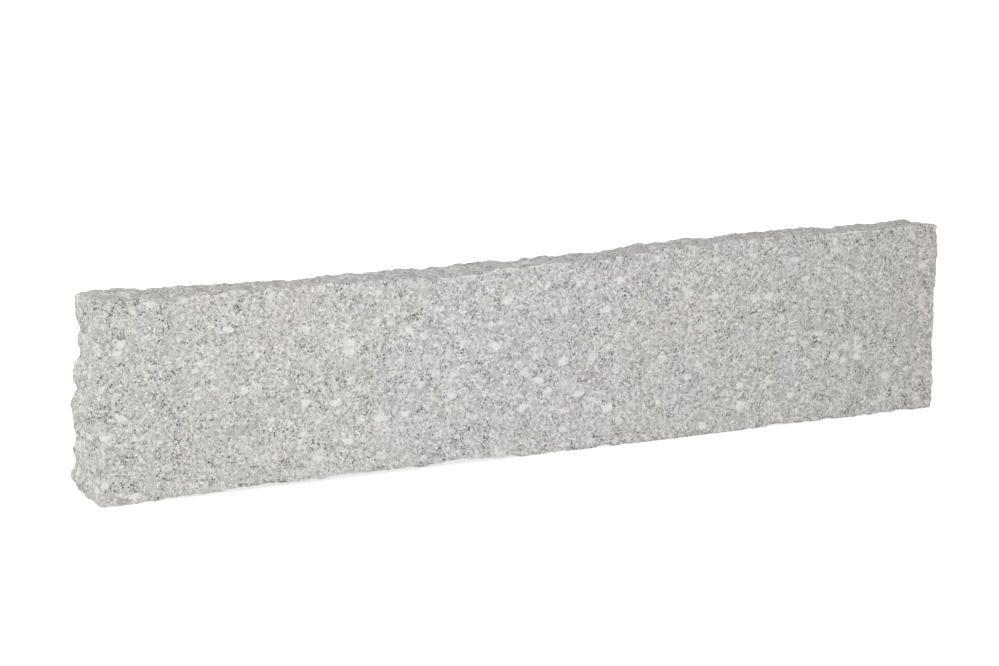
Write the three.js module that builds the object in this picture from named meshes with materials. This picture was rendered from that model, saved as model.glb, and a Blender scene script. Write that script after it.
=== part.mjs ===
import * as THREE from 'three';
import { ImprovedNoise } from 'three/addons/math/ImprovedNoise.js';

// A granite kerb stone, in millimetres. The origin is the middle of the foot, +X runs along
// the kerb, +Z is up and -Y is the show face.
//
// The two broad faces are sawn flat. The top, the base and both ends are split with hammer and
// chisel, so each of them is a field of recesses, measured inwards from the nominal block. The
// highest point of a split face lies on the block.

// Nominal block
const length = 1000;
const thickness = 50;
const height = 200;

// Greatest distance between the points that carry the relief of the split faces
const pointSpacing = 5;

// Roughness left by the split: hollows with sharp ridges between them, in halving octaves
const hollowWidth = 30;
const hollowDepth = 1.5;
const hollowOctaves = 3;

// Flake scars, the shallow bowls that the blows left. They lie close enough to meet in ridges,
// and those on an arris notch it.
const scarSpacing = 24;
const scarRadiusMin = 11;
const scarRadiusMax = 30;
const scarDepthMax = 3.4;

// Where the split of the top steps up, so that the kerb is higher from here to its right end
const ledgeX = 130;
const ledgeRise = 4;
const ledgeRun = 40;

// The back corner at the foot of the left end, which is broken off
const spallRise = 14;
const spallRun = 44;
const spallBulge = 1.5;

// High spots of the base, one near each end and one in the middle. The kerb stands on them, and
// they are worn flat.
const bearingFromEnd = 140;
const bearingFromArris = 4;
const bearingLength = 110;
const bearingWear = 0.9;

const stoneColor = '#c2c1bd';

const { clamp, lerp, seededRandom, smoothstep } = THREE.MathUtils;
const perlin = new ImprovedNoise();

// A smooth curve through values at even steps, read at a share of its run
function driftAt(values, share) {
  const steps = values.length - 1;
  const from = clamp(Math.floor(share * steps), 0, steps - 1);
  return lerp(values[from], values[from + 1], smoothstep(share * steps - from, 0, 1));
}

function hollowsAt(seed, along, across) {
  let depth = 0;
  for (let octave = 0; octave < hollowOctaves; octave += 1) {
    const scale = 2 ** octave;
    const width = hollowWidth / scale;
    depth += Math.abs(perlin.noise(along / width, across / width, seed + octave / 2)) / scale;
  }
  return hollowDepth * depth;
}

// Scars scattered over a split face: rows run along it, the first and last near its arrises
function makeScars(run, seed) {
  const rows = Math.max(1, Math.round(thickness / scarSpacing));
  const columns = Math.max(1, Math.round(run / scarSpacing));
  seededRandom(seed);
  return Array.from({ length: (rows + 1) * columns }, (_, index) => ({
    along: (run * (Math.floor(index / (rows + 1)) + seededRandom())) / columns,
    across: (thickness * ((index % (rows + 1)) + seededRandom() - 0.5)) / rows,
    radius: lerp(scarRadiusMin, scarRadiusMax, seededRandom()),
    depth: scarDepthMax * seededRandom(),
  }));
}

// Depth of the deepest scar at a point of a split face
function scarAt(scars, along, across) {
  const depths = scars.map((scar) => {
    const reach = Math.hypot(along - scar.along, across - scar.across) / scar.radius;
    return scar.depth * (1 - reach ** 2);
  });
  return Math.max(0, ...depths);
}

// Even stations over a run, as shares of it
function makeStations(run) {
  const count = Math.max(2, Math.round(run / pointSpacing));
  return Array.from({ length: count + 1 }, (_, index) => index / count);
}

const alongStations = makeStations(length);
const upStations = makeStations(height);
const throughStations = makeStations(thickness).map((share) => (share - 0.5) * thickness);

// A split face as a function of a share of its run and of y. frontArris and backArris give its
// drift off the block at even steps, more of them where its line wanders more, and shape is any
// form of its own.
function makeSplitFace({ run, stations, seed, frontArris, backArris, shape = () => 0 }) {
  const scars = makeScars(run, seed);
  const recess = (share, y) => {
    const along = share * run;
    const across = thickness / 2 + y;
    const drift = lerp(driftAt(frontArris, share), driftAt(backArris, share), across / thickness);
    return drift + hollowsAt(seed, along, across) + scarAt(scars, along, across) + shape(share, y);
  };
  const highest = Math.min(
    ...stations.flatMap((share) => throughStations.map((y) => recess(share, y))),
  );
  return (share, y) => recess(share, y) - highest;
}

const topRecess = makeSplitFace({
  run: length,
  stations: alongStations,
  seed: 11,
  frontArris: [4, 5, 6, 6.5, 6, 6, 9, 10, 12, 9.5, 8, 7.5, 7.5, 7, 7, 6.5, 7, 9, 9, 10, 8.5],
  backArris: [0, 0.5, 4.5, 5, 6, 8, 7, 7.5, 9, 8, 8.5, 8, 8, 8, 8, 7.5, 7.5, 7.5, 9, 10.5, 9],
  shape: (share) => {
    const x = (share - 0.5) * length;
    return -ledgeRise * smoothstep(x, ledgeX - ledgeRun / 2, ledgeX + ledgeRun / 2);
  },
});

const baseRecess = makeSplitFace({
  run: length,
  stations: alongStations,
  seed: 23,
  frontArris: [2.5, 1, 1.5, 4, 5, 4.5, 4, 4, 6.5, 1.5, 1, 1, 1.5, 0, 1.5, 0, 3, 1, 1.5, 0.5, 1.5],
  backArris: [2, 4, 2, 5, 3, 6, 4, 2, 5, 4, 3],
});

const leftRecess = makeSplitFace({
  run: height,
  stations: upStations,
  seed: 37,
  frontArris: [6, 7, 8, 7, 6, 5, 4, 2, 0],
  backArris: [7, 0, 5, 3.5, 5, 2, 1, 0, 6.5, 3, 4.5, 13.5, 9, 13, 7.5, 8, 7],
});

const rightRecess = makeSplitFace({
  run: height,
  stations: upStations,
  seed: 59,
  frontArris: [6, 3.5, 3.5, 3, 4, 1.5, 0.5, 0, 0],
  backArris: [3, 5, 4, 6, 3, 5, 2, 4, 3],
});

// 1 at the middle of a high spot of the base, falling to 0 at its rim
function swellAt(share, y) {
  const x = (share - 0.5) * length;
  const middles = [-1, 0, 1].map((side) => side * (length / 2 - bearingFromEnd));
  const fromMiddle = Math.min(...middles.map((middle) => Math.abs(x - middle)));
  const across = y / Math.max(1, thickness / 2 - bearingFromArris);
  return 1 - smoothstep(Math.hypot(fromMiddle / (bearingLength / 2), across), 0, 1);
}

function footAt(share, y) {
  return Math.max(0, baseRecess(share, y) * (1 - swellAt(share, y)) - bearingWear);
}

// Height of the broken corner above the foot
function spallAt(share, y) {
  const towardsBack = (thickness / 2 + y) / thickness;
  const towardsEnd = Math.max(0, 1 - (share * length) / spallRun);
  return spallRise * towardsBack ** spallBulge * towardsEnd;
}

// A point of the block, given as shares of its length and height: each is stretched between
// the four split faces
function placePoint(alongShare, upShare, y) {
  const left = leftRecess(upShare, y) - length / 2;
  const right = length / 2 - rightRecess(upShare, y);
  const low = Math.max(footAt(alongShare, y), spallAt(alongShare, y));
  const high = height - topRecess(alongShare, y);
  return new THREE.Vector3(lerp(left, right, alongShare), y, lerp(low, high, upShare));
}

// The outline at one depth: along the base, up the right end, back along the top and down
function makeRing(y) {
  const forward = alongStations.slice(0, -1);
  const upward = upStations.slice(0, -1);
  return [
    ...forward.map((share) => placePoint(share, 0, y)),
    ...upward.map((share) => placePoint(1, share, y)),
    ...forward.map((share) => placePoint(1 - share, 1, y)),
    ...upward.map((share) => placePoint(0, 1 - share, y)),
  ];
}

// Faces of the split skin between each ring and the next one behind it
function makeSkin(ringCount, pointCount) {
  const faces = [];
  for (let ring = 0; ring + 1 < ringCount; ring += 1) {
    for (let point = 0; point < pointCount; point += 1) {
      const near = ring * pointCount + point;
      const nearNext = ring * pointCount + ((point + 1) % pointCount);
      const far = near + pointCount;
      const farNext = nearNext + pointCount;
      if ((ring + point) % 2 === 0) {
        faces.push([near, far, farNext], [near, farNext, nearNext]);
      } else {
        faces.push([near, far, nearNext], [nearNext, far, farNext]);
      }
    }
  }
  return faces;
}

// Points along the middle of a sawn face, half the height from both ends and from each other
function makeSpine(y) {
  const reach = Math.max(0, (length - height) / 2);
  const count = 1 + Math.round((2 * reach) / (height / 2));
  return Array.from({ length: count }, (_, index) => {
    const x = count === 1 ? 0 : lerp(-reach, reach, index / (count - 1));
    return new THREE.Vector3(x, y, height / 2);
  });
}

// Faces of a sawn face: its outline is fanned about the spine point that each side lies nearest.
// They face the show side unless flipped.
function makeSawnFace(ring, firstRing, spine, firstSpine, flipped) {
  const nearest = ring.map((point) => {
    const distances = spine.map(({ x }) => Math.abs(point.x - x));
    return distances.indexOf(Math.min(...distances));
  });
  const faces = ring.flatMap((_, point) => {
    const next = (point + 1) % ring.length;
    const hub = firstSpine + nearest[point];
    const nextHub = firstSpine + nearest[next];
    const fan = [firstRing + point, firstRing + next, hub];
    return hub === nextHub ? [fan] : [fan, [firstRing + next, nextHub, hub]];
  });
  return flipped ? faces.map((face) => face.reverse()) : faces;
}

function makeKerbStone() {
  const rings = throughStations.map(makeRing);
  const pointCount = rings[0].length;
  const frontSpine = makeSpine(-thickness / 2);
  const backSpine = makeSpine(thickness / 2);
  const lastRing = (rings.length - 1) * pointCount;
  const firstSpine = rings.length * pointCount;
  const faces = [
    ...makeSkin(rings.length, pointCount),
    ...makeSawnFace(rings[0], 0, frontSpine, firstSpine, false),
    ...makeSawnFace(rings.at(-1), lastRing, backSpine, firstSpine + frontSpine.length, true),
  ];
  const points = [...rings.flat(), ...frontSpine, ...backSpine];
  const geometry = new THREE.BufferGeometry().setFromPoints(points);
  geometry.setIndex(faces.flat());
  geometry.computeVertexNormals();
  const material = new THREE.MeshStandardMaterial({
    color: stoneColor,
    roughness: 0.85,
    metalness: 0,
    flatShading: true,
  });
  const mesh = new THREE.Mesh(geometry, material);
  mesh.name = 'kerb_stone';
  return mesh;
}

const kerb = new THREE.Group();
kerb.add(makeKerbStone());

export default kerb;
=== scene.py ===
import math

import bpy
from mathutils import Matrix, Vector, kdtree


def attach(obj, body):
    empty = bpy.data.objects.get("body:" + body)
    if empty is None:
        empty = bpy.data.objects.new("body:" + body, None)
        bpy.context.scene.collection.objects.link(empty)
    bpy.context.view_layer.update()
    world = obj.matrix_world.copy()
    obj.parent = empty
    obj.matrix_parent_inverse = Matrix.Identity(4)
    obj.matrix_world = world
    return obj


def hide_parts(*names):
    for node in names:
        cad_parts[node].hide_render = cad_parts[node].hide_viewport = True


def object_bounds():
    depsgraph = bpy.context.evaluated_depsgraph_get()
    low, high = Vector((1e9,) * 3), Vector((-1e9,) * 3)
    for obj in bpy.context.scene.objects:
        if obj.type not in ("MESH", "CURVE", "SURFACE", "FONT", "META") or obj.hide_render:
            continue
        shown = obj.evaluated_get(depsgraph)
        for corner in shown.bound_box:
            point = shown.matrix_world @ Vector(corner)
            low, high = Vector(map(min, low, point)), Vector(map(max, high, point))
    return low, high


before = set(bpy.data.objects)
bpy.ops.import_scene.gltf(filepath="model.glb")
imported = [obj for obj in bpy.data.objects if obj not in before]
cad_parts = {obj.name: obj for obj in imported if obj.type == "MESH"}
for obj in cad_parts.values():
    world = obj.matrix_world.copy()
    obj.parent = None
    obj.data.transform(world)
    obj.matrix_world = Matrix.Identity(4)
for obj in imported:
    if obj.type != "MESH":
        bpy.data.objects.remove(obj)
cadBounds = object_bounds()
mm = 0.001

colorA, colorB, mixedColor = 6, 7, 2  # sockets of a Mix node that mixes colours
numberA, numberB, mixedNumber = 2, 3, 0  # and of one that mixes numbers


def fromHex(code):
    channels = [int(code[start:start + 2], 16) / 255 for start in (1, 3, 5)]
    # the usual curve from sRGB to linear light
    linear = [channel / 12.92 if channel <= 0.04045 else ((channel + 0.055) / 1.055) ** 2.4
              for channel in channels]
    return (*linear, 1.0)


def addNode(tree, kind, settings=None, links=None):
    # settings are the node's own options or the values of its sockets, links feed its sockets
    node = tree.nodes.new("ShaderNode" + kind)
    for name, value in (settings or {}).items():
        if isinstance(name, str) and hasattr(node, name):
            setattr(node, name, value)
        else:
            node.inputs[name].default_value = value
    for name, source in (links or {}).items():
        tree.links.new(source, node.inputs[name])
    return node


def startMaterial(name):
    material = bpy.data.materials.new(name)
    material.use_nodes = True
    material.node_tree.nodes.clear()
    return material, material.node_tree


# the stone's mesh, with sizes in mm
kerbShape = {
    "mergeReach": 0.01,     # points of the CAD mesh that lie this close are one
    "chipBand": 4.0,        # part of the sawn faces, beside an arris, that chips may reach
    "cuts": 3,              # each side of a CAD triangle is cut this often
    "flatness": 0.99999,    # least share of y in the normal of a sawn face, 1 but for rounding
    "softenShare": 0.5,     # of the way to the middle of its neighbours, for a point in one step
    "softenSteps": 1,       # takes the CAD facets out of the split faces
    "cornerReach": 16.0,    # from a top corner of the block, worn round
    "cornerSteps": 40,
    "arrisReach": 3.0,      # over which an arris counts as bruised, for its chips and its pale line of crushed crystals and painted highlight
    "footClearance": 0.4,   # above the floor, below which the worn foot stays flat
    "foldAngle": 90,        # degrees, folds sharper than this are softened
    "unfoldRounds": 6,
    "unfoldSteps": 2,       # in each round
    "smoothAngle": 30,      # degrees, breaks sharper than this stay crisp
    # texture, area, width, depth, share of the depth that stands out of the surface, and the
    # texture's own settings
    "reliefs": {
        # shallow shells where flakes came away
        "scars": ("VORONOI", "split", 15.0, 2.3, 0.4, {"noise_intensity": 1.3}),
        # smaller breaks inside them
        "breaks": ("VORONOI", "split", 6.0, 1.2, 0.4, {"noise_intensity": 1.3}),
        # single crystals
        "grains": ("CLOUDS", "split", 2.6, 0.7, 0.4, {"noise_depth": 1}),
        # here and there along the arrises
        "chips": ("CLOUDS", "bruised", 9.0, 2.4, 0.0,
                  {"noise_depth": 3, "noise_type": "HARD_NOISE",
                   "contrast": 2.0, "intensity": 1.6}),
    },
}


def selectOnly(piece):
    bpy.ops.object.select_all(action="DESELECT")
    piece.select_set(True)
    bpy.context.view_layer.objects.active = piece


def selectParts(piece, kind, test):
    # parts are picked in object mode, and the operators that follow act on them
    for parts in (piece.data.vertices, piece.data.edges, piece.data.polygons):
        parts.foreach_set("select", [False] * len(parts))
    for part in getattr(piece.data, kind):
        part.select = test(part)


def isSawn(face):
    return abs(face.normal.y) > kerbShape["flatness"]


def refineKerb(kerb):
    selectOnly(kerb)
    bpy.ops.object.mode_set(mode="EDIT")
    bpy.ops.mesh.select_mode(type="VERT")
    bpy.ops.mesh.select_all(action="SELECT")
    bpy.ops.mesh.remove_doubles(threshold=kerbShape["mergeReach"] * mm)
    bpy.ops.mesh.select_mode(type="FACE")
    bpy.ops.object.mode_set(mode="OBJECT")

    # each sawn face becomes one polygon with a narrow band along its arrises
    selectParts(kerb, "polygons", isSawn)
    bpy.ops.object.mode_set(mode="EDIT")
    bpy.ops.mesh.dissolve_faces()
    bpy.ops.mesh.inset(thickness=kerbShape["chipBand"] * mm, use_individual=True)
    bpy.ops.object.mode_set(mode="OBJECT")

    # everything but the two large polygons is cut fine
    selectParts(kerb, "polygons", lambda face: len(face.vertices) < 5)
    bpy.ops.object.mode_set(mode="EDIT")
    bpy.ops.mesh.subdivide(number_cuts=kerbShape["cuts"])
    bpy.ops.object.mode_set(mode="OBJECT")

    # the large polygons have points in line, which would leave slivers
    selectParts(kerb, "polygons", lambda face: len(face.vertices) > 4)
    bpy.ops.object.mode_set(mode="EDIT")
    bpy.ops.mesh.quads_convert_to_tris(quad_method="BEAUTY", ngon_method="BEAUTY")
    bpy.ops.object.mode_set(mode="OBJECT")


def findFaces(kerb):
    # points on the sawn faces and on the split ones, an arris has both
    onSawn, onSplit = set(), set()
    for face in kerb.data.polygons:
        (onSawn if isSawn(face) else onSplit).update(face.vertices)
    return onSawn, onSplit


def findCorners(kerb):
    # points close to where an end meets the top
    low, high = cadBounds
    near = set()
    for vertex in kerb.data.vertices:
        fromEnd = min(vertex.co.x - low[0], high[0] - vertex.co.x)
        if max(fromEnd, high[2] - vertex.co.z) < kerbShape["cornerReach"] * mm:
            near.add(vertex.index)
    return near


def soften(kerb, chosen, steps, alongY=True):
    selectParts(kerb, "vertices", lambda vertex: vertex.index in chosen)
    bpy.ops.object.mode_set(mode="EDIT")
    bpy.ops.mesh.select_mode(type="VERT")
    bpy.ops.mesh.vertices_smooth(factor=kerbShape["softenShare"], repeat=steps, yaxis=alongY)
    bpy.ops.object.mode_set(mode="OBJECT")


def markSplit(kerb, onSplit):
    # all of the split faces but the worn foot
    group = kerb.vertex_groups.new(name="split")
    for vertex in kerb.data.vertices:
        if vertex.index in onSplit and vertex.co.z >= kerbShape["footClearance"] * mm:
            group.add([vertex.index], 1.0, "REPLACE")


def markBruisesAndHighlights(kerb, arrises):
    # 1 at an arris, falling to 0, as a group for the chips and an attribute for the materials,
    # which paint crushed crystals and a highlight along the arris
    tree = kdtree.KDTree(len(arrises))
    for index in arrises:
        tree.insert(kerb.data.vertices[index].co, index)
    tree.balance()
    reach = kerbShape["arrisReach"] * mm
    weights = [max(0.0, 1.0 - tree.find(vertex.co)[2] / reach) for vertex in kerb.data.vertices]
    group = kerb.vertex_groups.new(name="bruised")
    for index, weight in enumerate(weights):
        if weight > 0:
            group.add([index], weight, "REPLACE")
    attribute = kerb.data.attributes.new("nearArris", "FLOAT", "POINT")
    attribute.data.foreach_set("value", weights)


def addRelief(kerb, name, kind, area, width, depth, rise, settings):
    # white in the texture stands out of the surface, black is cut into it
    texture = bpy.data.textures.new(name, kind)
    texture.noise_scale = width * mm
    texture.use_clamp = True
    for setting, value in settings.items():
        setattr(texture, setting, value)
    modifier = kerb.modifiers.new(name, "DISPLACE")
    modifier.texture = texture
    modifier.texture_coords = "LOCAL"
    modifier.vertex_group = area
    modifier.mid_level = 1.0 - rise
    modifier.strength = depth * mm
    bpy.ops.object.modifier_apply(modifier=name)


def findFolds(kerb):
    # points where a face is folded back on its neighbour
    sides = {}
    for face in kerb.data.polygons:
        for edge in face.edge_keys:
            sides.setdefault(edge, []).append(face.normal.copy())
    sharpest = math.cos(math.radians(kerbShape["foldAngle"]))
    folds = set()
    for edge, (normal, otherNormal) in sides.items():
        if normal.dot(otherNormal) < sharpest:
            folds.update(edge)
    return folds


def keepInBlock(kerb):
    # a cut near an arris can push a point sideways, out of the sawn face
    for vertex in kerb.data.vertices:
        vertex.co = [min(max(at, low), high) for at, low, high in zip(vertex.co, *cadBounds)]


def paintKerb(kerb, onSawn):
    kerb.data.materials.clear()
    kerb.data.materials.append(sawnGranite())
    kerb.data.materials.append(splitGranite())
    for face in kerb.data.polygons:
        face.material_index = 0 if all(index in onSawn for index in face.vertices) else 1
    bpy.ops.object.shade_smooth_by_angle(angle=math.radians(kerbShape["smoothAngle"]))


def buildKerb():
    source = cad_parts["kerb_stone"]
    kerb = source.copy()
    kerb.data = source.data.copy()
    kerb.name = "dressed_kerb"
    bpy.context.scene.collection.objects.link(kerb)
    refineKerb(kerb)
    onSawn, onSplit = findFaces(kerb)
    arrises = onSawn & onSplit
    soften(kerb, onSplit - arrises, kerbShape["softenSteps"])
    soften(kerb, onSplit & findCorners(kerb), kerbShape["cornerSteps"], alongY=False)
    markSplit(kerb, onSplit)
    markBruisesAndHighlights(kerb, arrises)
    for name, relief in kerbShape["reliefs"].items():
        addRelief(kerb, name, *relief)
    for _ in range(kerbShape["unfoldRounds"]):
        soften(kerb, findFolds(kerb), kerbShape["unfoldSteps"])
    keepInBlock(kerb)
    paintKerb(kerb, onSawn)
    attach(kerb, "root")
    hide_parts("kerb_stone")


# granite: pale feldspars and grey glassy quartz, locked together, with scattered flakes of dark
# mica. Sizes are in mm, and a chance is the random number, 0 to 1, that each crystal has.
graniteLook = {
    "noiseMiddle": 0.5,         # value about which a noise swings

    "feldspar": "#cbcbc9",      # most of the stone
    "cream": "#d8d7d4",         # a paler feldspar, over these chances
    "creamFrom": 0.4,
    "creamTo": 0.8,
    "quartz": "#b3b2af",
    "quartzShare": 0.25,
    "quartzBlend": 0.06,        # chances on either side of that share that lie between the two
    "crystalSize": 2.4,         # common crystals
    "fineSize": 1.4,            # crystals between them
    "fineContrast": 0.21,
    "veilSize": 5.0,            # cloudy patches inside the crystals
    "veilFrom": 0.25,           # values of their noise at which their tone is least and most
    "veilTo": 0.75,
    "veilContrast": 0.26,
    "raggedSize": 1.7,          # waves in the outlines of crystals
    "raggedDepth": 1.6,

    "largeSize": 9.0,           # large clear crystals with few flecks in them
    "largeShare": 0.2,
    "largeBlend": 0.01,         # chances above that share over which they fade out
    "largeGap": 0.45,           # between them and their neighbours
    "largeRim": 1.6,            # over which they come clear
    "clearness": 0.6,

    "mica": "#50504d",
    "micaSize": 1.5,
    "micaShare": 0.089,
    "leftMica": 1.2,            # times as much of it at the left end of the kerb
    "leftMicaReach": 0.25,      # share of the length over which that fades
    "clearMicaShare": 0.01,     # in the large clear crystals
    "flakeFrom": -0.01,         # chances below the share over which a flake gets dark
    "flakeTo": 0.1,
    "driftSize": 14.0,          # the mica gathers in drifts
    "driftFrom": 0.35,          # over these values of their noise
    "driftTo": 0.75,
    "driftThin": 0.6,           # and goes from this much of its share
    "driftThick": 1.8,          # to this much
    "seamSize": 6.0,            # bends of the thin broken seams of mica
    "seamWidth": 0.03,
    "seamDarkness": 0.9,
    "seamFrom": 0.5,            # values of the drifts over which seams show
    "seamTo": 0.62,

    "white": "#ecece9",         # large white crystals
    "whiteSpacing": 11.5,
    "whiteSize": 5.2,           # half the width of the largest
    "whiteFrom": 0.25,           # chance below which the place of one is empty
    "whiteTo": 0.8,             # and above which it has one of the largest
    "whiteRim": 2.4,            # over which a white crystal fades out
    "whiteWander": 9.0,         # waves of the rims
    "whiteStretch": 1.45,       # they are this much longer along the kerb than high
    "whiteThin": 0.5,           # least and most milky
    "whiteThick": 0.84,
    "bendSize": 6.0,            # bends in the outlines of the white crystals
    "bendDepth": 4.0,

    "tintSize": 80.0,           # changes of the tint
    "tintDepth": 0.018,
    "leftTint": "#fffefb",      # slow change along the kerb, from its left end
    "middleTint": "#fdfeff",
    "middleAt": 0.42,           # where that one is, as a share of the length
    "rightTint": "#fffcfb",

    "bruiseAndHighlight": "#e4e4e0",        # crushed crystals along an arris, and a painted highlight where the arris catches the light
    "bruiseAndHighlightSpacing": 170.0,     # the bruises and the painted highlight come and go along an arris
    "bruiseAndHighlightHurry": 3.0,         # and this much faster up one
    "bruiseAndHighlightStart": (0.0, 3977.0, -380.0),  # place in their pattern
    "bruiseAndHighlightFrom": 0.5,          # values of that pattern over which they show
    "bruiseAndHighlightTo": 0.6,
    "bruiseAndHighlightRimFrom": 0.3,       # nearness to the arris over which they show
    "bruiseAndHighlightRimTo": 0.75,
    "bruiseAndHighlightPaleness": 0.8,

    "dust": "#d2d2ce",          # stone dust on the split faces
    "dustShare": 0.06,
    "ior": 1.54,                # of feldspar and quartz
    "sawnFinish": {"roughness": 0.7, "bumpStrength": 0.3, "bumpDepth": 0.1},
    "splitFinish": {"roughness": 0.85, "bumpStrength": 0.6, "bumpDepth": 0.3},
}


def addPlaces(tree):
    # the stone's own coordinates, the same in mm, and those again with the small wander that
    # gives crystals their ragged outlines
    look = graniteLook
    depth = look["raggedDepth"]
    place = addNode(tree, "TexCoord").outputs["Object"]
    inMm = addNode(tree, "Mapping", {"Scale": (1 / mm,) * 3}, {"Vector": place}).outputs["Vector"]
    wander = addNode(tree, "TexNoise", {"Scale": 1 / look["raggedSize"], "Detail": 2.0},
                     {"Vector": inMm}).outputs["Color"]
    offset = addNode(tree, "VectorMath", {"operation": "MULTIPLY_ADD", 1: (depth,) * 3,
                                          2: (-depth / 2,) * 3}, {0: wander}).outputs["Vector"]
    ragged = addNode(tree, "VectorMath", {"operation": "ADD"}, {0: inMm, 1: offset})
    axes = addNode(tree, "SeparateXYZ", links={"Vector": place})
    along = addNode(tree, "MapRange", {"From Min": cadBounds[0][0], "From Max": cadBounds[1][0]},
                    {"Value": axes.outputs["X"]}).outputs["Result"]
    return place, inMm, ragged.outputs["Vector"], along


def scatterCrystals(tree, places, size):
    # crystals of one size: two chances for each, and how far a place is from its middle
    crystals = addNode(tree, "TexVoronoi", {"Scale": 1 / size}, {"Vector": places})
    chances = addNode(tree, "SeparateColor", links={"Color": crystals.outputs["Color"]}).outputs
    return chances["Red"], chances["Green"], crystals.outputs["Distance"]


def addCommonCrystals(tree, ragged):
    look = graniteLook
    chance, otherChance, _ = scatterCrystals(tree, ragged, look["crystalSize"])
    isCream = addNode(tree, "MapRange", {"From Min": look["creamFrom"],
                                         "From Max": look["creamTo"]},
                      {"Value": otherChance}).outputs["Result"]
    feldspar = addNode(tree, "Mix", {"data_type": "RGBA", colorA: fromHex(look["feldspar"]),
                                     colorB: fromHex(look["cream"])}, {"Factor": isCream})
    isQuartz = addNode(tree, "MapRange", {"From Min": look["quartzShare"] + look["quartzBlend"],
                                          "From Max": look["quartzShare"] - look["quartzBlend"]},
                       {"Value": chance}).outputs["Result"]
    stone = addNode(tree, "Mix", {"data_type": "RGBA", colorB: fromHex(look["quartz"])},
                    {"Factor": isQuartz, colorA: feldspar.outputs[mixedColor]})
    return stone.outputs[mixedColor]


def addFineTones(tree, inMm, ragged, stone):
    # fine crystals between the others, and cloudy patches within them
    look = graniteLook
    _, chance, fromMiddle = scatterCrystals(tree, ragged, look["fineSize"])
    fineTone = addNode(tree, "MapRange", {"To Min": 1 - look["fineContrast"],
                                          "To Max": 1 + look["fineContrast"]},
                       {"Value": chance}).outputs["Result"]
    veil = addNode(tree, "TexNoise", {"Scale": 1 / look["veilSize"], "Detail": 3.0,
                                      "Roughness": 0.65}, {"Vector": inMm}).outputs["Fac"]
    veilTone = addNode(tree, "MapRange", {"From Min": look["veilFrom"], "From Max": look["veilTo"],
                                          "To Min": 1 - look["veilContrast"],
                                          "To Max": 1 + look["veilContrast"]},
                       {"Value": veil}).outputs["Result"]
    tone = addNode(tree, "Math", {"operation": "MULTIPLY"}, {0: fineTone, 1: veilTone})
    toned = addNode(tree, "Mix", {"data_type": "RGBA", "blend_type": "MULTIPLY", "Factor": 1.0},
                    {colorA: stone, colorB: tone.outputs["Value"]})
    return toned.outputs[mixedColor], veil, fromMiddle


def addLargeCrystals(tree, ragged, stone):
    # some cells of a coarser pattern are one large clear crystal
    look = graniteLook
    size, share = look["largeSize"], look["largeShare"]
    chance, otherChance, _ = scatterCrystals(tree, ragged, size)
    isLarge = addNode(tree, "MapRange", {"From Min": share + look["largeBlend"], "From Max": share},
                      {"Value": chance}).outputs["Result"]
    fromRim = addNode(tree, "TexVoronoi", {"feature": "DISTANCE_TO_EDGE", "Scale": 1 / size},
                      {"Vector": ragged}).outputs["Distance"]
    inRim = addNode(tree, "MapRange", {"From Min": look["largeGap"] / size,
                                       "From Max": look["largeRim"] / size},
                    {"Value": fromRim}).outputs["Result"]
    inLarge = addNode(tree, "Math", {"operation": "MULTIPLY"},
                      {0: inRim, 1: isLarge}).outputs["Value"]
    clear = addNode(tree, "Mix", {"data_type": "RGBA", colorA: fromHex(look["quartz"]),
                                  colorB: fromHex(look["cream"])}, {"Factor": otherChance})
    clearness = addNode(tree, "Math", {"operation": "MULTIPLY", 1: look["clearness"]}, {0: inLarge})
    stone = addNode(tree, "Mix", {"data_type": "RGBA"},
                    {"Factor": clearness.outputs["Value"], colorA: stone,
                     colorB: clear.outputs[mixedColor]})
    return stone.outputs[mixedColor], inLarge


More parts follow.
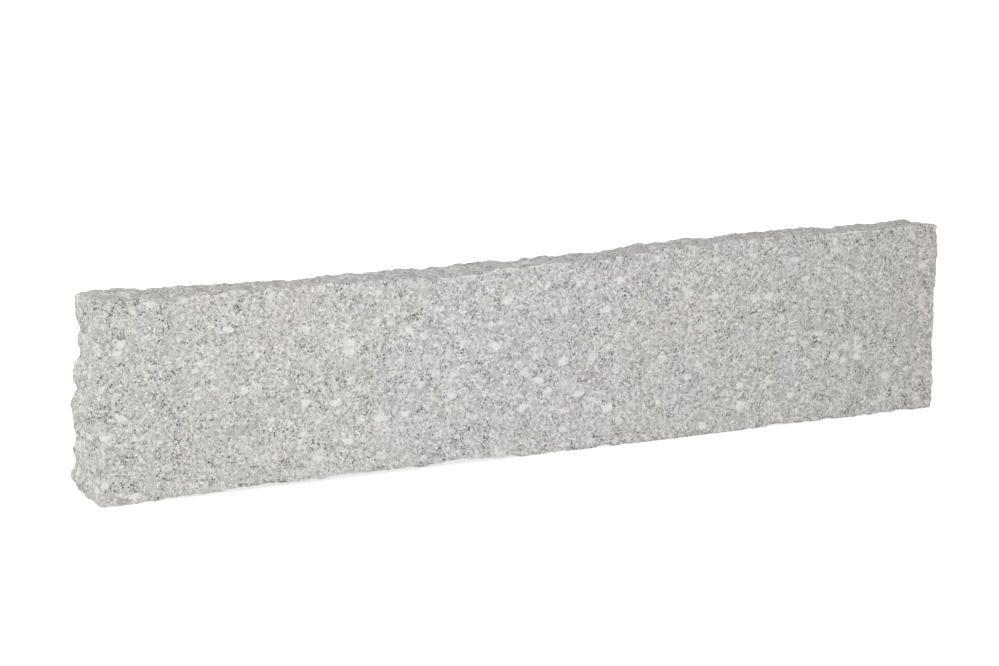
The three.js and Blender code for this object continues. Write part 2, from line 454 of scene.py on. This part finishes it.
def addMica(tree, inMm, ragged, along, stone, inLarge):
    # flakes lie in drifts between the large crystals, and in thin seams that come and go
    look = graniteLook
    thin, thick = look["driftThin"] * look["micaShare"], look["driftThick"] * look["micaShare"]
    drift = addNode(tree, "TexNoise", {"Scale": 1 / look["driftSize"], "Detail": 2.0},
                    {"Vector": inMm}).outputs["Fac"]
    driftShare = addNode(tree, "MapRange", {"From Min": look["driftFrom"],
                                            "From Max": look["driftTo"],
                                            "To Min": thin, "To Max": thick},
                         {"Value": drift}).outputs["Result"]
    richness = addNode(tree, "MapRange", {"From Max": look["leftMicaReach"],
                                          "To Min": look["leftMica"]},
                       {"Value": along}).outputs["Result"]
    shareHere = addNode(tree, "Math", {"operation": "MULTIPLY"}, {0: driftShare, 1: richness})
    share = addNode(tree, "Mix", {numberB: look["clearMicaShare"]},
                    {"Factor": inLarge, numberA: shareHere.outputs["Value"]}).outputs[mixedNumber]
    chance, _, _ = scatterCrystals(tree, ragged, look["micaSize"])
    below = addNode(tree, "Math", {"operation": "SUBTRACT"}, {0: share, 1: chance}).outputs["Value"]
    isFlake = addNode(tree, "MapRange", {"From Min": look["flakeFrom"],
                                         "From Max": look["flakeTo"]},
                      {"Value": below}).outputs["Result"]

    # a seam runs where a noise passes its middle value
    seams = addNode(tree, "TexNoise", {"Scale": 1 / look["seamSize"], "Detail": 2.0},
                    {"Vector": ragged}).outputs["Fac"]
    offSeam = addNode(tree, "Math", {"operation": "SUBTRACT", 1: look["noiseMiddle"]},
                      {0: seams}).outputs["Value"]
    fromSeam = addNode(tree, "Math", {"operation": "ABSOLUTE"}, {0: offSeam}).outputs["Value"]
    onSeam = addNode(tree, "MapRange", {"From Min": look["seamWidth"], "From Max": 0.0,
                                        "To Max": look["seamDarkness"]},
                     {"Value": fromSeam}).outputs["Result"]
    seamHere = addNode(tree, "MapRange", {"From Min": look["seamFrom"], "From Max": look["seamTo"]},
                       {"Value": drift}).outputs["Result"]
    isSeam = addNode(tree, "Math", {"operation": "MULTIPLY"}, {0: onSeam, 1: seamHere})
    isMica = addNode(tree, "Math", {"operation": "MAXIMUM"},
                     {0: isFlake, 1: isSeam.outputs["Value"]}).outputs["Value"]
    stone = addNode(tree, "Mix", {"data_type": "RGBA", colorB: fromHex(look["mica"])},
                    {"Factor": isMica, colorA: stone})
    return stone.outputs[mixedColor]


def addWhites(tree, inMm, ragged, veil, stone):
    # large white crystals of every size, bent out of round and soft at the rim
    look = graniteLook
    spacing = look["whiteSpacing"]
    bends = addNode(tree, "TexNoise", {"Scale": 1 / look["bendSize"]}, {"Vector": inMm})
    bent = addNode(tree, "VectorMath", {"operation": "MULTIPLY_ADD", 1: (look["bendDepth"],) * 3},
                   {0: bends.outputs["Color"], 2: ragged}).outputs["Vector"]
    drawn = addNode(tree, "Mapping", {"Scale": (1 / look["whiteStretch"], 1, 1)}, {"Vector": bent})
    chance, otherChance, fromMiddle = scatterCrystals(tree, drawn.outputs["Vector"], spacing)
    reach = addNode(tree, "MapRange", {"From Min": look["whiteFrom"], "From Max": look["whiteTo"],
                                       "To Max": look["whiteSize"] / spacing},
                    {"Value": chance}).outputs["Result"]
    depth = addNode(tree, "Math", {"operation": "SUBTRACT"}, {0: reach, 1: fromMiddle})
    uneven = addNode(tree, "Math", {"operation": "SUBTRACT", 1: look["noiseMiddle"]}, {0: veil})
    wavyDepth = addNode(tree, "Math", {"operation": "MULTIPLY_ADD",
                                       1: look["whiteWander"] / spacing},
                        {0: uneven.outputs["Value"], 2: depth.outputs["Value"]}).outputs["Value"]
    inWhite = addNode(tree, "MapRange", {"From Max": look["whiteRim"] / spacing},
                      {"Value": wavyDepth}).outputs["Result"]
    milkiness = addNode(tree, "MapRange", {"To Min": look["whiteThin"],
                                           "To Max": look["whiteThick"]},
                        {"Value": otherChance}).outputs["Result"]
    whiteness = addNode(tree, "Math", {"operation": "MULTIPLY"}, {0: inWhite, 1: milkiness})
    stone = addNode(tree, "Mix", {"data_type": "RGBA", colorB: fromHex(look["white"])},
                    {"Factor": whiteness.outputs["Value"], colorA: stone})
    return stone.outputs[mixedColor]


def addTints(tree, inMm, along, stone):
    # the tint wavers between rosy, bluish and greenish, and changes slowly along the kerb
    look = graniteLook
    neutral = look["noiseMiddle"]
    tints = addNode(tree, "TexNoise", {"Scale": 1 / look["tintSize"], "Detail": 1.0},
                    {"Vector": inMm})
    tint = addNode(tree, "Mix", {"data_type": "RGBA", "Factor": look["tintDepth"],
                                 colorA: (neutral, neutral, neutral, 1.0)},
                   {colorB: tints.outputs["Color"]})
    waver = addNode(tree, "VectorMath", {"operation": "SCALE", "Scale": 1 / neutral},
                    {0: tint.outputs[mixedColor]}).outputs["Vector"]
    toMiddle = addNode(tree, "MapRange", {"From Max": look["middleAt"]}, {"Value": along})
    toRight = addNode(tree, "MapRange", {"From Min": look["middleAt"]}, {"Value": along})
    leftHalf = addNode(tree, "Mix", {"data_type": "RGBA", colorA: fromHex(look["leftTint"]),
                                     colorB: fromHex(look["middleTint"])},
                       {"Factor": toMiddle.outputs["Result"]}).outputs[mixedColor]
    slowTint = addNode(tree, "Mix", {"data_type": "RGBA", colorB: fromHex(look["rightTint"])},
                       {"Factor": toRight.outputs["Result"], colorA: leftHalf})
    for layer in (waver, slowTint.outputs[mixedColor]):
        stone = addNode(tree, "Mix", {"data_type": "RGBA", "blend_type": "MULTIPLY", "Factor": 1.0},
                        {colorA: stone, colorB: layer}).outputs[mixedColor]
    return stone


def addGranite(tree):
    place, inMm, ragged, along = addPlaces(tree)
    stone = addCommonCrystals(tree, ragged)
    stone, veil, height = addFineTones(tree, inMm, ragged, stone)
    stone, inLarge = addLargeCrystals(tree, ragged, stone)
    stone = addMica(tree, inMm, ragged, along, stone, inLarge)
    stone = addWhites(tree, inMm, ragged, veil, stone)
    return addTints(tree, inMm, along, stone), height, place


def addBruisesAndHighlights(tree, place, stone):
    # an arris that was knocked shows a pale broken line of crushed crystals; the same line is also
    # a painted highlight, where the arris catches the light
    look = graniteLook
    nearArris = addNode(tree, "Attribute", {"attribute_name": "nearArris"}).outputs["Fac"]
    shifted = addNode(tree, "Mapping", {"Scale": (1 / mm, 1 / mm, look["bruiseAndHighlightHurry"] / mm),
                                        "Location": look["bruiseAndHighlightStart"]}, {"Vector": place})
    patches = addNode(tree, "TexNoise", {"Scale": 1 / look["bruiseAndHighlightSpacing"], "Detail": 3.0},
                      {"Vector": shifted.outputs["Vector"]}).outputs["Fac"]
    isPatch = addNode(tree, "MapRange", {"From Min": look["bruiseAndHighlightFrom"],
                                         "From Max": look["bruiseAndHighlightTo"]},
                      {"Value": patches}).outputs["Result"]
    both = addNode(tree, "Math", {"operation": "MULTIPLY"}, {0: nearArris, 1: isPatch})
    bruiseAndHighlightShare = addNode(tree, "MapRange", {"From Min": look["bruiseAndHighlightRimFrom"],
                                           "From Max": look["bruiseAndHighlightRimTo"],
                                           "To Max": look["bruiseAndHighlightPaleness"]},
                        {"Value": both.outputs["Value"]}).outputs["Result"]
    stone = addNode(tree, "Mix", {"data_type": "RGBA", colorB: fromHex(look["bruiseAndHighlight"])},
                    {"Factor": bruiseAndHighlightShare, colorA: stone})
    return stone.outputs[mixedColor]


def finishGranite(tree, stone, height, finish):
    # each fine crystal is a little hollow, so its rim stands out
    bump = addNode(tree, "Bump", {"Strength": finish["bumpStrength"],
                                  "Distance": finish["bumpDepth"] * mm}, {"Height": height})
    shader = addNode(tree, "BsdfPrincipled", {"Roughness": finish["roughness"],
                                              "IOR": graniteLook["ior"]},
                     {"Base Color": stone, "Normal": bump.outputs["Normal"]})
    addNode(tree, "OutputMaterial", links={"Surface": shader.outputs["BSDF"]})


def sawnGranite():
    # sawn granite: flat and dry, the crystals lie open like terrazzo and glint only faintly
    material, tree = startMaterial("sawn granite")
    stone, height, place = addGranite(tree)
    # crushed crystals and a painted highlight along the arrises
    stone = addBruisesAndHighlights(tree, place, stone)
    finishGranite(tree, stone, height, graniteLook["sawnFinish"])
    return material


def splitGranite():
    # split granite: torn crystals and stone dust, paler flakes and less contrast than a sawn face
    material, tree = startMaterial("split granite")
    stone, height, place = addGranite(tree)
    dusty = addNode(tree, "Mix", {"data_type": "RGBA", "Factor": graniteLook["dustShare"],
                                  colorB: fromHex(graniteLook["dust"])}, {colorA: stone})
    # crushed crystals and a painted highlight along the arrises
    stone = addBruisesAndHighlights(tree, place, dusty.outputs[mixedColor])
    finishGranite(tree, stone, height, graniteLook["splitFinish"])
    return material


# the studio, with sizes in metres
studio = {
    "floorSize": 60.0,
    "floorColor": "#e6e6e6",
    "floorGlow": 0.7,            # makes the floor white in the picture and in reflections only
    "skyStrength": 0.466,
    "softboxes": {               # place, width, height and watts of each
        "side softbox": ((-2.5, -0.75, 1.3), 1.4, 1.4, 34.0),
        "front softbox": ((-0.05, -1.15, 0.19), 0.7, 0.35, 3.95),
        "top softbox": ((-0.3, 0.1, 1.8), 0.8, 0.8, 2.0),
        "back softbox": ((0.9, 2.4, 0.16), 2.0, 0.3, 30.0),
        "end softbox": ((2.6, 0.3, 0.12), 0.4, 0.2, 12.0),
    },
    "cameraPlace": (-2.4251, -3.7122, 0.846),
    "cameraYaw": 32.81,          # degrees from +Y towards +X
    "cameraPitch": 9.297,        # degrees down
    "lens": 162.4,               # mm
    "sensorWidth": 36,
}


def addIsSeen(tree):
    # 1 for what the camera sees directly or in a reflection
    rays = addNode(tree, "LightPath").outputs
    seen = addNode(tree, "Math", {"operation": "MAXIMUM"},
                   {0: rays["Is Camera Ray"], 1: rays["Is Glossy Ray"]})
    return seen.outputs["Value"]


def buildFloor():
    bpy.ops.object.select_all(action="DESELECT")
    bpy.ops.mesh.primitive_plane_add(size=studio["floorSize"])
    floor = bpy.context.object
    floor.name = "floor"
    material, tree = startMaterial("seamless paper")
    paper = addNode(tree, "BsdfDiffuse", {"Color": fromHex(studio["floorColor"])})
    strength = addNode(tree, "Math", {"operation": "MULTIPLY", 1: studio["floorGlow"]},
                       {0: addIsSeen(tree)})
    glow = addNode(tree, "Emission", links={"Strength": strength.outputs["Value"]})
    both = addNode(tree, "AddShader", links={0: paper.outputs["BSDF"], 1: glow.outputs["Emission"]})
    addNode(tree, "OutputMaterial", links={"Surface": both.outputs["Shader"]})
    floor.data.materials.append(material)


def buildSky():
    world = bpy.data.worlds.new("studio")
    bpy.context.scene.world = world
    world.use_nodes = True
    tree = world.node_tree
    tree.nodes.clear()
    light = addNode(tree, "Background", {"Color": (1, 1, 1, 1), "Strength": studio["skyStrength"]})
    white = addNode(tree, "Background", {"Color": (1, 1, 1, 1), "Strength": 1.0})
    mix = addNode(tree, "MixShader", links={0: addIsSeen(tree), 1: light.outputs["Background"],
                                            2: white.outputs["Background"]})
    addNode(tree, "OutputWorld", links={"Surface": mix.outputs["Shader"]})


def addSoftboxes():
    middle = (Vector(cadBounds[0]) + Vector(cadBounds[1])) / 2
    for name, (place, width, height, power) in studio["softboxes"].items():
        bpy.ops.object.light_add(type="AREA", location=place)
        lamp = bpy.context.object
        lamp.name = name
        lamp.data.shape = "RECTANGLE"
        lamp.data.size, lamp.data.size_y = width, height
        lamp.data.energy = power
        lamp.rotation_euler = (middle - Vector(place)).to_track_quat("-Z", "Y").to_euler()
        lamp.visible_camera = False


def buildCamera():
    yaw, pitch = math.radians(studio["cameraYaw"]), math.radians(studio["cameraPitch"])
    bpy.ops.object.camera_add(location=studio["cameraPlace"],
                              rotation=(math.pi / 2 - pitch, 0, -yaw))
    camera = bpy.context.object
    camera.data.sensor_width = studio["sensorWidth"]
    camera.data.lens = studio["lens"]
    bpy.context.scene.camera = camera


buildKerb()
print("kerb dressed")
buildFloor()
buildSky()
addSoftboxes()
buildCamera()
bpy.context.scene.view_settings.view_transform = "Standard"
print("studio lit")
